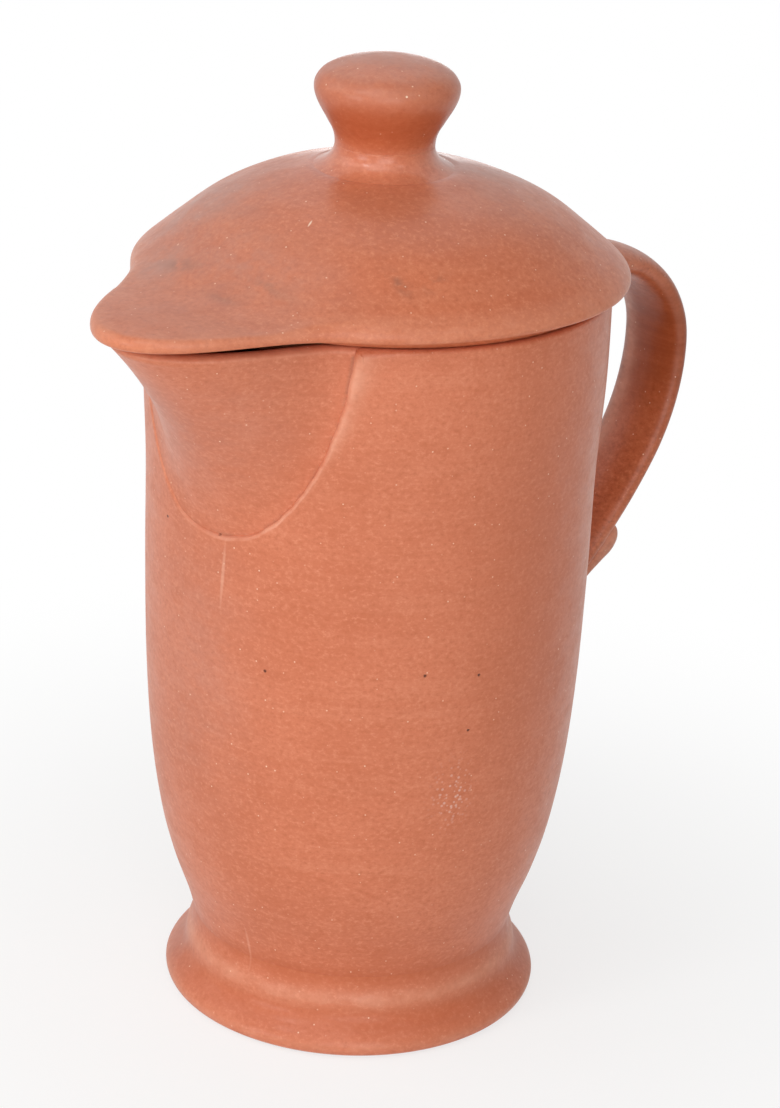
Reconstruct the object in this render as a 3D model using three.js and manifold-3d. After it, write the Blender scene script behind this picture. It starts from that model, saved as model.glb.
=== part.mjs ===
// A hand-made terracotta water jug with a flared foot, a spout let into the rim, a strap handle and a
// beaked lid. Millimetres, +Z up. The origin is the centre of the underside, on the jug's own axis.
// The spout points towards -Y. Angles round the axis start at the spout and grow towards +X.
import * as THREE from 'three';
import * as BufferGeometryUtils from 'three/addons/utils/BufferGeometryUtils.js';
import Module from 'manifold-3d';

// Body, foot and rim. Shapes given as shares run from 0 to 1 between the named sizes.
const RIM_HEIGHT = 210.3;
const RIM_RADIUS = 62.7;
const RIM_ROUNDING = 1.4;
const WALL = 4.8;
const FLOOR = 7;
const FLOOR_FILLET = 9;
const STEM_RADIUS = 45.1;
const STEM_HEIGHT = 19.5;
// Share of the way out from stem to rim, share of the way up
const BODY_SHARES = [[0, 0], [0.153, 0.05], [0.398, 0.113], [0.602, 0.186], [0.773, 0.291], [0.875, 0.422],
  [0.92, 0.579], [0.938, 0.736], [1.006, 0.878], [1, 1]];
const FOOT_WIDTH = 8;
const FOOT_EDGE_HEIGHT = 3;
const FOOT_CUT_IN = 1.6;
// Share of the collar's width, share of the way up from its edge
const FOOT_SHARES = [[0.08, 0.99], [0.13, 0.83], [0.24, 0.65], [0.42, 0.46], [0.7, 0.26], [0.91, 0.12],
  [1, 0]];

// Spout: a tongue let into a U-shaped cut in the rim
const SPOUT_REACH = 32.4;
const SPOUT_HALF_ANGLE = 36.5;
const SPOUT_DEPTH = 57.7;
const SEAM_ROUNDNESS = [2.3, 1.6];
const SPOUT_FLARE = 1.9;
const SPOUT_NOSE = 2.8;
const SPOUT_SET_BACK = 1;

// Strap handle and the lug under its lower root, in the handle's own upright plane: points are given as
// distances out from the rim's radius and down from the rim. The lug's inner side follows the strap's line.
const HANDLE_ANGLE = 172;
const STRAP_WIDTH = 23;
const STRAP_THICKNESS = 8.1;
const STRAP_CORNER = 2.8;
const STRAP_LINE = [[-5.7, 13.4], [4.3, 9.1], [15.8, 7.3], [27.6, 9.6], [37.7, 17.3], [43.7, 28.1],
  [44.7, 39.8], [42.5, 52.3], [37.8, 63.9], [30.8, 74.8], [22.6, 85.1], [13.3, 95], [2.8, 104.3], [-5.7, 111.3]];
const LUG_WIDTH = 21;
const LUG_CORNER = 2.5;
const LUG_UNDERSIDE = [[-5.7, 118.3], [-2.2, 118.3], [6.8, 109.4], [15.2, 101.8], [20.8, 98.1], [24.8, 95.8],
  [26.6, 92.7], [26.5, 90], [25, 87.6], [21.8, 87.3]];
const LUG_STRAP_POINTS = 3;

// Lid, measured up from the plane that rests on the rim
const LID_OVERHANG = 4.6;
const LID_RISE = 30.3;
const LID_WALL = 5;
// Share of the way out from the knob's pad to the edge, share of the rise
const LID_SHARES = [[0, 1], [0.206, 0.911], [0.398, 0.805], [0.611, 0.64], [0.806, 0.409], [0.94, 0.238],
  [1.164, -0.05]];
const LID_EDGE_HEIGHT = 3.4;
const LID_EDGE_ROUNDING = 2.8;
const LID_EDGE_UNDERCUT = 1.8;
const LID_SEAT_SET_BACK = 1.7;
// The round edge is drawn in a little on both sides of the beak: share, and angles from the beak
const LID_DRAW_SHARE = 0.035;
const LID_DRAW_ANGLE = 68;
const LID_DRAW_SPREAD_ANGLE = 25;
const BEAK_REACH = 31.7;
const BEAK_HALF_ANGLE = 49;
const BEAK_NOSE = 6;
const BEAK_TOP = 7.5;
const BEAK_FALL_SHARE = 0.08;
const BEAK_DROOP = 1.1;
const BEAK_CROWN_RADIUS = 555;
const BEAK_BLEND = 2.7;
const BEAK_FADE_ANGLE = 75;
const FLANGE_DEPTH = 7.3;
const FLANGE_THICKNESS = 5;
const FLANGE_PLAY = 2.9;
const FLANGE_SET_BACK = 0.5;
const KNOB_HEIGHT = 29.3;
const KNOB_RADIUS = 19.35;
const KNOB_BASE_RADIUS = 20;
const KNOB_BASE_EDGE = 0.4;
const KNOB_PAD_MARGIN = 0.3;
// Share of the head's radius, share of the knob's height
const KNOB_SHARES = [[0.879, 0.044], [0.749, 0.106], [0.687, 0.205], [0.708, 0.287], [0.765, 0.389],
  [0.848, 0.485], [0.935, 0.587], [0.987, 0.676], [1, 0.737], [0.987, 0.788], [0.925, 0.853], [0.796, 0.911],
  [0.568, 0.962], [0.289, 0.993]];

// Clearances: luting gaps between pieces, and the air between the lid and the rim
const JOINT_GAP = 0.3;
const LID_GAP = 0.3;

// Fineness of the facets
const ROUND_SEGMENTS = 64;
const KNOB_SEGMENTS = 40;
const SEAM_STEPS = 26;

const clay = (color) => new THREE.MeshStandardMaterial({ color, roughness: 0.62, metalness: 0 });
const BURNISHED = 0xd0805f;
const HANDLE_CLAY = 0xb5623f;
const HIDDEN_CLAY = 0xc4704e;

const radians = THREE.MathUtils.degToRad;
const onAxis = (radius, angle, height) => new THREE.Vector3(
  radius * Math.sin(angle),
  -radius * Math.cos(angle),
  height,
);
const toVectors = (pairs) => pairs.map(([x, y]) => new THREE.Vector2(x, y));
const smooth = (pairs, count) => new THREE.SplineCurve(toVectors(pairs)).getPoints(count);

// Reads a smooth rising outline as a function that gives the radius at any height.
function radiusReader(pairs) {
  const line = smooth(pairs, 240);
  return (height) => {
    const after = line.findIndex((point) => point.y >= height);
    if (after <= 0) return line[after === 0 ? 0 : line.length - 1].x;
    const low = line[after - 1];
    const high = line[after];
    return THREE.MathUtils.lerp(low.x, high.x, (height - low.y) / (high.y - low.y));
  };
}

// Reads a smooth outline, listed from the axis outwards, as a function that gives the height at any radius.
function heightReader(pairs) {
  return radiusReader(pairs.map(([radius, height]) => [height, radius]));
}

// Turns a profile (radius, height) round the Z axis. The profile runs anticlockwise round its section.
function turned(profile, segments = ROUND_SEGMENTS) {
  return new THREE.LatheGeometry(profile, segments).rotateX(Math.PI / 2);
}

function named(name, geometry, color) {
  const mesh = new THREE.Mesh(geometry, clay(color));
  mesh.name = name;
  return mesh;
}

// Builds an indexed closed body and drops the triangles that collapse where corners meet.
function closedBody(points, triangles) {
  const geometry = new THREE.BufferGeometry();
  const positions = points.flatMap((point) => point.toArray());
  geometry.setAttribute('position', new THREE.Float32BufferAttribute(positions, 3));
  geometry.setIndex(triangles.flat());
  const merged = BufferGeometryUtils.mergeVertices(geometry, 1e-4);
  const index = Array.from(merged.index.array);
  const kept = [];
  for (let i = 0; i < index.length; i += 3) {
    const [a, b, c] = index.slice(i, i + 3);
    if (a !== b && b !== c && c !== a) kept.push(a, b, c);
  }
  merged.setIndex(kept);
  return merged;
}

// Joins a row of closed rings with equally many points into one body. The first and the last ring each
// lie in one point, which closes the body there.
function ringedBody(rings) {
  const size = rings[0].length;
  const triangles = [];
  for (let row = 0; row < rings.length - 1; row += 1) {
    for (let k = 0; k < size; k += 1) {
      const a = row * size + k;
      const b = row * size + ((k + 1) % size);
      triangles.push([a, b, b + size], [a, b + size, a + size]);
    }
  }
  return closedBody(rings.flat(), triangles);
}

// Closed meshes become solids for cutting, and cut solids become meshes again.
const wasm = await Module();
wasm.setup();
function toSolid(geometry) {
  const bare = geometry.clone();
  bare.deleteAttribute('normal');
  bare.deleteAttribute('uv');
  const merged = BufferGeometryUtils.mergeVertices(bare, 1e-4);
  return new wasm.Manifold(new wasm.Mesh({
    numProp: 3,
    vertProperties: new Float32Array(merged.attributes.position.array),
    triVerts: new Uint32Array(merged.index.array),
  }));
}
function toGeometry(solid) {
  const mesh = solid.getMesh();
  const geometry = new THREE.BufferGeometry();
  geometry.setAttribute('position', new THREE.BufferAttribute(mesh.vertProperties, 3));
  geometry.setIndex(new THREE.BufferAttribute(mesh.triVerts, 1));
  return geometry;
}
const cut = (geometry, ...cutters) => toGeometry(
  cutters.reduce((solid, cutter) => solid.subtract(toSolid(cutter)), toSolid(geometry)),
);

const bodyOutline = BODY_SHARES.map(([out, up]) => [
  THREE.MathUtils.lerp(STEM_RADIUS, RIM_RADIUS, out),
  THREE.MathUtils.lerp(STEM_HEIGHT, RIM_HEIGHT, up),
]);
const bodyRadius = radiusReader(bodyOutline);

// The vessel: outer outline up, rounded rim, inner outline down at one wall's distance, and the floor.
function bodyWall() {
  const outline = new THREE.SplineCurve(toVectors(bodyOutline));
  const steps = 16;
  const filletSteps = 3;
  const outer = [];
  const inner = [];
  for (let i = 0; i <= steps; i += 1) {
    const point = outline.getPoint(i / steps);
    const tangent = outline.getTangent(i / steps);
    outer.push(point);
    inner.push(new THREE.Vector2(point.x - WALL * tangent.y, point.y + WALL * tangent.x));
  }
  const top = outer.pop();
  const innerTop = inner.pop();
  const insideRadius = STEM_RADIUS - WALL;
  const profile = [
    new THREE.Vector2(0, 0),
    new THREE.Vector2(STEM_RADIUS, 0),
    ...outer,
    new THREE.Vector2(top.x, RIM_HEIGHT - RIM_ROUNDING),
    new THREE.Vector2(top.x - RIM_ROUNDING, RIM_HEIGHT),
    new THREE.Vector2(innerTop.x + RIM_ROUNDING, RIM_HEIGHT),
    new THREE.Vector2(innerTop.x, RIM_HEIGHT - RIM_ROUNDING),
    ...inner.reverse().filter((point) => point.y > STEM_HEIGHT + WALL),
  ];
  for (let i = 0; i <= filletSteps; i += 1) {
    const turn = (Math.PI / 2) * (i / filletSteps);
    profile.push(new THREE.Vector2(
      insideRadius - FLOOR_FILLET * (1 - Math.cos(turn)),
      FLOOR + FLOOR_FILLET * (1 - Math.sin(turn)),
    ));
  }
  profile.push(new THREE.Vector2(0, FLOOR));
  return cut(turned(profile), spoutCutter());
}

// The U of the spout's joint: a superellipse in angle and height, from the left end to the right end.
const seamTurn = (i) => (Math.PI / 2) * ((2 * i) / SEAM_STEPS - 1);
function spoutSeam(turn, spread = 0) {
  const across = Math.sign(turn) * Math.abs(Math.sin(turn)) ** (2 / SEAM_ROUNDNESS[0]);
  const down = Math.abs(Math.cos(turn)) ** (2 / SEAM_ROUNDNESS[1]);
  return {
    angle: across * (radians(SPOUT_HALF_ANGLE) + spread / RIM_RADIUS),
    height: RIM_HEIGHT - down * (SPOUT_DEPTH + spread),
  };
}

// A wedge through the wall along the U, one luting gap wider than the spout. Its rings lie close together at
// the wall, so that its radial sides stay true there.
function spoutCutter() {
  const over = 8;
  const inside = RIM_RADIUS - 3 * WALL;
  const outside = RIM_RADIUS + 2 * SPOUT_REACH;
  const nearWall = [RIM_RADIUS - 2 * WALL, RIM_RADIUS - WALL, RIM_RADIUS + WALL / 2];
  const ring = (radius) => {
    const points = [onAxis(radius, 0, RIM_HEIGHT + over)];
    for (let i = 0; i <= SEAM_STEPS; i += 1) {
      const { angle, height } = spoutSeam(seamTurn(i), JOINT_GAP);
      if (i === 0) points.push(onAxis(radius, angle, RIM_HEIGHT + over));
      points.push(onAxis(radius, angle, height));
      if (i === SEAM_STEPS) points.push(onAxis(radius, angle, RIM_HEIGHT + over));
    }
    return points;
  };
  const middle = (radius) => {
    const centre = onAxis(radius, 0, RIM_HEIGHT - SPOUT_DEPTH / 2);
    return ring(radius).map(() => centre);
  };
  return ringedBody([middle(inside), ring(inside), ...nearWall.map(ring), ring(outside), middle(outside)]);
}

// How far the spout stands out at the rim, at an angle from its middle.
function spoutBulge(angle) {
  const share = Math.min(1, Math.abs(angle) / radians(SPOUT_HALF_ANGLE));
  return SPOUT_REACH * (1 - share ** 2) ** SPOUT_NOSE;
}

// Outer radius of the spout: the wall's own radius, set back at the joint, plus a flare that grows upwards.
function spoutRadius(angle, height, seamHeight) {
  const rise = Math.max(0, (height - seamHeight) / Math.max(1e-6, RIM_HEIGHT - seamHeight));
  const setBack = SPOUT_SET_BACK * (1 - rise);
  return bodyRadius(height) - setBack + spoutBulge(angle) * rise ** SPOUT_FLARE;
}

function spout() {
  const upSteps = 11;
  const crowding = 0.8;
  const steepest = 1.2;
  const step = 0.01;
  const columns = [];
  for (let i = 0; i <= SEAM_STEPS; i += 1) {
    const { angle, height: seam } = spoutSeam(seamTurn(i));
    const outer = [];
    const inner = [];
    for (let k = 0; k <= upSteps; k += 1) {
      const height = seam + (RIM_HEIGHT - seam) * (k / upSteps) ** crowding;
      const radius = spoutRadius(angle, height, seam);
      const slope = (radius - spoutRadius(angle, height - step, seam)) / step;
      const sweep = (spoutBulge(angle + step) - spoutBulge(angle - step)) / (2 * step * radius);
      const lean = Math.hypot(1, Math.min(slope, steepest), Math.min(Math.abs(sweep), steepest));
      outer.push(onAxis(radius, angle, height));
      inner.push(onAxis(radius - WALL * lean, angle, height));
    }
    columns.push([...inner, ...outer.reverse()]);
  }
  const first = columns[0].map(() => columns[0][0].clone().lerp(columns[0].at(-1), 0.5));
  const last = columns.at(-1).map(() => columns.at(-1)[0].clone().lerp(columns.at(-1).at(-1), 0.5));
  return ringedBody([first, ...columns, last]);
}

// The flared collar: a soft shoulder at the top, a hollow slope and a rounded edge on the table.
function footRing() {
  const inside = STEM_RADIUS + JOINT_GAP;
  const outside = inside + FOOT_WIDTH;
  const top = STEM_HEIGHT - JOINT_GAP;
  const slope = smooth(FOOT_SHARES.map(([out, up]) => [
    THREE.MathUtils.lerp(inside, outside, out),
    THREE.MathUtils.lerp(FOOT_EDGE_HEIGHT, top, up),
  ]), 9);
  return turned([
    new THREE.Vector2(inside, 0),
    new THREE.Vector2(outside - FOOT_CUT_IN, 0),
    new THREE.Vector2(outside - FOOT_CUT_IN / 4, FOOT_EDGE_HEIGHT / 2.5),
    ...slope.reverse(),
    new THREE.Vector2(inside, top),
    new THREE.Vector2(inside, 0),
  ]);
}

// The wall's outside, one luting gap larger, for trimming the pieces that stand on it.
function bodyTrimmer() {
  const outline = smooth(bodyOutline, 20);
  const profile = [
    new THREE.Vector2(0, STEM_HEIGHT),
    ...outline.map((point) => new THREE.Vector2(point.x + JOINT_GAP, point.y)),
    new THREE.Vector2(0, RIM_HEIGHT),
  ];
  return turned(profile);
}

// A flat rectangle with rounded corners, centred, for the strap's section.
function roundedSection(width, thickness, corner) {
  const x = width / 2;
  const y = thickness / 2;
  const shape = new THREE.Shape();
  shape.moveTo(x - corner, -y);
  shape.absarc(x - corner, -y + corner, corner, -Math.PI / 2, 0, false);
  shape.absarc(x - corner, y - corner, corner, 0, Math.PI / 2, false);
  shape.absarc(-x + corner, y - corner, corner, Math.PI / 2, Math.PI, false);
  shape.absarc(-x + corner, -y + corner, corner, Math.PI, 1.5 * Math.PI, false);
  return shape;
}

// Turns distances out from the rim's radius and down from the rim into radius and height.
const fromRim = (pairs) => pairs.map(([out, down]) => [RIM_RADIUS + out, RIM_HEIGHT - down]);

// A strap along the handle's line, grown all round by a margin.
function strapAlongLine(margin) {
  const points = fromRim(STRAP_LINE).map(([out, up]) => new THREE.Vector3(out, 0, up));
  const line = new THREE.CatmullRomCurve3(points);
  const section = roundedSection(
    STRAP_WIDTH + 2 * margin,
    STRAP_THICKNESS + 2 * margin,
    STRAP_CORNER + margin,
  );
  return new THREE.ExtrudeGeometry(section, { steps: 30, curveSegments: 3, extrudePath: line });
}

function handleStrap() {
  return cut(strapAlongLine(0), bodyTrimmer());
}

// The lug: a thick pad that fills the corner under the strap's lower root, with rounded sides underneath.
function handleLug() {
  const strapSide = toVectors(fromRim(STRAP_LINE.slice(-LUG_STRAP_POINTS)));
  const underside = toVectors(fromRim(LUG_UNDERSIDE));
  const along = strapSide[0].clone().sub(strapSide.at(-1)).normalize();
  const inwards = new THREE.Vector2(-along.y, along.x);
  const ring = (across, inset) => [
    ...strapSide,
    ...underside.map((point) => point.clone().addScaledVector(inwards, inset)),
  ].map((point) => new THREE.Vector3(point.x, across, point.y));
  const cornerSteps = 3;
  const corner = [];
  for (let i = 0; i <= cornerSteps; i += 1) {
    const turn = (Math.PI / 2) * (i / cornerSteps);
    corner.push([LUG_WIDTH / 2 - LUG_CORNER * (1 - Math.cos(turn)), LUG_CORNER * (1 - Math.sin(turn))]);
  }
  const rings = [
    ...corner.map(([across, inset]) => ring(across, inset)),
    ...corner.reverse().map(([across, inset]) => ring(-across, inset)),
  ];
  const closing = (ends) => {
    const middle = ends.reduce((sum, point) => sum.add(point), new THREE.Vector3()).divideScalar(ends.length);
    return ends.map(() => middle);
  };
  const pad = ringedBody([closing(rings[0]), ...rings, closing(rings.at(-1))]);
  return cut(pad, strapAlongLine(JOINT_GAP), bodyTrimmer());
}

const lidRadius = RIM_RADIUS + LID_OVERHANG;
const padRadius = KNOB_BASE_RADIUS + KNOB_PAD_MARGIN;
const flangeOutside = RIM_RADIUS - WALL - FLANGE_PLAY;
const flangeInside = flangeOutside - FLANGE_THICKNESS;
const domeHeight = heightReader(LID_SHARES.map(([out, up]) => [
  THREE.MathUtils.lerp(padRadius, lidRadius, out),
  LID_RISE * up,
]));

// Share of the lid's round size at an angle from the beak.
function drawnIn(angle) {
  const away = (Math.abs(angle) - radians(LID_DRAW_ANGLE)) / radians(LID_DRAW_SPREAD_ANGLE);
  return 1 - LID_DRAW_SHARE * Math.exp(-(away ** 2));
}

// How far the beak stands out past the round lid, at an angle from its middle.
function beakBulge(angle) {
  const share = Math.min(1, Math.abs(angle) / radians(BEAK_HALF_ANGLE));
  return BEAK_REACH * (1 - share ** 2) ** BEAK_NOSE;
}

// Height of the lid's upper side. The beak is a tongue that falls a little towards its tip, is crowned
// across and runs into the dome.
function lidTop(radius, angle) {
  const dome = domeHeight(radius / drawnIn(angle));
  const along = Math.max(0, radius * Math.cos(angle) - RIM_RADIUS);
  const across = radius * Math.sin(angle);
  const beak = BEAK_TOP - BEAK_FALL_SHARE * along - (across ** 2) / (2 * BEAK_CROWN_RADIUS);
  const blended = BEAK_BLEND * Math.log(Math.exp(dome / BEAK_BLEND) + Math.exp(beak / BEAK_BLEND));
  const share = Math.min(1, Math.abs(angle) / radians(BEAK_FADE_ANGLE));
  return dome + (blended - dome) * (1 - share ** 2) ** 2;
}

// A step for reading the slope of a curve between two near points.
const SLOPE_STEP = 0.5;

// The hollow under the dome: up inside the flange, then in parallel to the dome at one wall's distance.
function lidHollow() {
  const inside = flangeInside - FLANGE_SET_BACK;
  const steps = 5;
  const line = [[inside, 0]];
  for (let i = 0; i <= steps; i += 1) {
    const radius = inside * (1 - i / steps);
    const slope = (domeHeight(radius + SLOPE_STEP) - domeHeight(radius)) / SLOPE_STEP;
    line.push([radius, domeHeight(radius) - LID_WALL * Math.hypot(1, slope)]);
  }
  return line;
}

// The lid's section at one angle: the knob's pad, the dome, the rounded edge, the seat and the hollow.
function lidSection(angle) {
  const bulge = beakBulge(angle);
  const edge = lidRadius * drawnIn(angle) + bulge;
  const edgeHeight = LID_EDGE_HEIGHT - BEAK_DROOP * (bulge / BEAK_REACH) ** 2;
  const start = edge - LID_EDGE_ROUNDING;
  const section = [[0, LID_RISE], [padRadius, LID_RISE]];
  const domeSteps = 8;
  const crowding = 0.85;
  for (let i = 1; i <= domeSteps; i += 1) {
    const radius = THREE.MathUtils.lerp(padRadius, start, (i / domeSteps) ** crowding);
    section.push([radius, lidTop(radius, angle)]);
  }
  const slope = (lidTop(start, angle) - lidTop(start - SLOPE_STEP, angle)) / SLOPE_STEP;
  const upper = new THREE.QuadraticBezierCurve(
    new THREE.Vector2(start, lidTop(start, angle)),
    new THREE.Vector2(edge, Math.max(edgeHeight, lidTop(start, angle) + slope * LID_EDGE_ROUNDING)),
    new THREE.Vector2(edge, edgeHeight),
  );
  const lower = new THREE.QuadraticBezierCurve(
    new THREE.Vector2(edge, edgeHeight),
    new THREE.Vector2(edge, edgeHeight - LID_EDGE_UNDERCUT),
    new THREE.Vector2(edge - LID_EDGE_UNDERCUT, edgeHeight - LID_EDGE_UNDERCUT),
  );
  for (const point of upper.getPoints(3).slice(1)) section.push([point.x, point.y]);
  for (const point of lower.getPoints(2).slice(1)) section.push([point.x, point.y]);
  section.push([RIM_RADIUS - LID_SEAT_SET_BACK, 0], ...lidHollow());
  return section;
}

function lidShell() {
  const rings = [];
  const crowding = 0.5;
  for (let i = 0; i < ROUND_SEGMENTS; i += 1) {
    const share = (2 * i) / ROUND_SEGMENTS - 1;
    const angle = Math.PI * share - crowding * Math.sin(Math.PI * share);
    rings.push(lidSection(angle).map(([radius, height]) => onAxis(radius, angle, height)));
  }
  const stations = rings[0].map((_, k) => rings.map((ring) => ring[k]));
  return ringedBody(stations.reverse());
}

// The ring that hangs inside the rim and keeps the lid centred.
function lidFlange() {
  const chamfer = FLANGE_THICKNESS / 4;
  return turned(toVectors([
    [flangeInside, 0],
    [flangeInside, -FLANGE_DEPTH + chamfer],
    [flangeInside + chamfer, -FLANGE_DEPTH],
    [flangeOutside - chamfer, -FLANGE_DEPTH],
    [flangeOutside, -FLANGE_DEPTH + chamfer],
    [flangeOutside, 0],
    [flangeInside, 0],
  ]));
}

// The knob stands on the lid's flat pad: a small fillet, a waist and a wide rounded head.
function lidKnob() {
  const profile = [
    new THREE.Vector2(0, 0),
    new THREE.Vector2(KNOB_BASE_RADIUS, 0),
    ...smooth([
      [KNOB_BASE_RADIUS, KNOB_BASE_EDGE],
      ...KNOB_SHARES.map(([out, up]) => [KNOB_RADIUS * out, KNOB_HEIGHT * up]),
    ], 15),
    new THREE.Vector2(0, KNOB_HEIGHT),
  ];
  return turned(profile, KNOB_SEGMENTS);
}

const jug = new THREE.Group();
jug.add(named('body_wall', bodyWall(), BURNISHED));
jug.add(named('foot_ring', footRing(), BURNISHED));
jug.add(named('spout', spout(), BURNISHED));

const handle = new THREE.Group();
handle.rotation.z = radians(HANDLE_ANGLE - 90);
handle.add(named('handle_strap', handleStrap(), HANDLE_CLAY));
handle.add(named('handle_lug', handleLug(), HANDLE_CLAY));
jug.add(handle);

const lid = new THREE.Group();
lid.position.z = RIM_HEIGHT + LID_GAP;
lid.add(named('lid_shell', lidShell(), BURNISHED));
lid.add(named('lid_flange', lidFlange(), HIDDEN_CLAY));
const knob = named('lid_knob', lidKnob(), BURNISHED);
knob.position.z = LID_RISE;
lid.add(knob);
jug.add(lid);

export default jug;
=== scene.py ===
# %% [markdown]
# # A burnished terracotta water jug
#
# The jug is thrown from red clay, with a collar foot, a pulled-out spout, a strap handle and a domed lid
# with a beak over the spout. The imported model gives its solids, its joints and its size. Here each solid
# gets the soft, hand-finished skin of the real pot, in the same frame, so no piece is moved afterwards.

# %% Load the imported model
import bpy
import numpy as np
from mathutils import Matrix, Vector


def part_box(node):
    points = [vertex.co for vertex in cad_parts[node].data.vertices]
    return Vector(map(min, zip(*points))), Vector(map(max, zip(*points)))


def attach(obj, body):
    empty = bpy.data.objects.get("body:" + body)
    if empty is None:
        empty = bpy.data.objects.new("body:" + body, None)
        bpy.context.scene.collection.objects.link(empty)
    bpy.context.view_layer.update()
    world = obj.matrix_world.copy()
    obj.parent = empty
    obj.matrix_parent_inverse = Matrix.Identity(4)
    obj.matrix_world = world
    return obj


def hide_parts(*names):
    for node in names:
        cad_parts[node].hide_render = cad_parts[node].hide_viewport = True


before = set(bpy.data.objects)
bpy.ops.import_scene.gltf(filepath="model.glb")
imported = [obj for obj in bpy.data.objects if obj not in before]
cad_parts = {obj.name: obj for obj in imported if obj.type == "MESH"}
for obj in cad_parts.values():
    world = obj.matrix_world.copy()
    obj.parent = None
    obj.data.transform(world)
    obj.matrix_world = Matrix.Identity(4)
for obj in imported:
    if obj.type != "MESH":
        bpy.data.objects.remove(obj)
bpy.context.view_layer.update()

MM = 0.001
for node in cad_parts:
    low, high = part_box(node)
    print("solid", node, "from", [round(v / MM, 1) for v in low], "to", [round(v / MM, 1) for v in high])

# %% [markdown]
# ## The camera
#
# The picture is taken from in front and a little above, with a long lens, so that the foot, the spout and
# the handle all show. A camera looks along its own -Z, so its turn is built from three axes: right, up and
# backwards. The picture leans by under three degrees, and the axes are rolled by that.

# %% Put the camera where the picture was taken
AZIMUTH, ELEVATION, ROLL = np.radians([41.0, 22.227, 2.7174])
PICTURE_HEIGHT, FOCAL_PIXELS, DISTANCE = 1108, 3215.3, 0.89174
AIM_RIGHT, AIM_HEIGHT = 0.006465, 0.130103
SENSOR = 36.0


def towards(azimuth, elevation):
    """The unit vector from the jug to an azimuth, counted from -Y towards +X, and an elevation."""
    flat = np.cos(elevation)
    return np.array([np.sin(azimuth) * flat, -np.cos(azimuth) * flat, np.sin(elevation)])


backwards = towards(AZIMUTH, ELEVATION)
level = np.array([np.cos(AZIMUTH), np.sin(AZIMUTH), 0.0])
upright = np.cross(backwards, level)
right = level * np.cos(ROLL) + upright * np.sin(ROLL)
above = upright * np.cos(ROLL) - level * np.sin(ROLL)
target = level * AIM_RIGHT + np.array([0.0, 0.0, AIM_HEIGHT])

camera = bpy.data.objects.new("picture_camera", bpy.data.cameras.new("picture_camera"))
camera.data.sensor_width = SENSOR
camera.data.lens = SENSOR * FOCAL_PIXELS / PICTURE_HEIGHT
camera.data.clip_start, camera.data.clip_end = 0.05, 20.0
turn = Matrix((right, above, backwards)).transposed().to_4x4()
camera.matrix_world = Matrix.Translation(Vector(target + DISTANCE * backwards)) @ turn
bpy.context.collection.objects.link(camera)
bpy.context.scene.camera = camera
print("lens", round(camera.data.lens, 1), "mm")

# %% [markdown]
# ## Three helpers for the clay
#
# Every piece of this jug is a skin drawn over a grid of points: rows that run along the piece and columns
# that run once round it. Blender's Spin or Screw modifiers could make such a grid, but the spout, the beak
# and the cut in the wall are not round, so one general skin serves all eight pieces. The first helper draws
# a smooth curve through a few points, the second is a soft bump round one value, and the third places
# points round the jug's axis.

# %% Smooth curves, bells, and points round the axis
def smooth_line(points, count):
    """A curve through all the points: between two neighbours it is the cubic that passes through both and
    leaves each in the direction of the chord between its own neighbours."""
    p = np.asarray(points, float)
    along = np.linspace(0, len(p) - 1, count)
    i = np.minimum(along.astype(int), len(p) - 2)
    t = (along - i)[:, None]
    a, b, c, d = p[np.maximum(i - 1, 0)], p[i], p[i + 1], p[np.minimum(i + 2, len(p) - 1)]
    squared, cubed = a - 2.5 * b + 2 * c - d / 2, 1.5 * (b - c) + (d - a) / 2
    return b + t / 2 * (c - a) + t ** 2 * squared + t ** 3 * cubed


def bell(value, middle, reach):
    """1 at the middle and falling off on both sides: e to minus the squared distance in reaches."""
    return np.exp(-((value - middle) / reach) ** 2)


def round_axis(radius, angle, height):
    """Points at a radius, an angle and a height: the angle counts from the spout, which looks along -Y."""
    radius, angle, height = np.broadcast_arrays(radius, angle, height)
    return np.stack([radius * np.sin(angle), -radius * np.cos(angle), height], -1)


print("a bell at none, one and two reaches:", np.round(bell(np.arange(3), 0, 1), 3).tolist())
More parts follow.
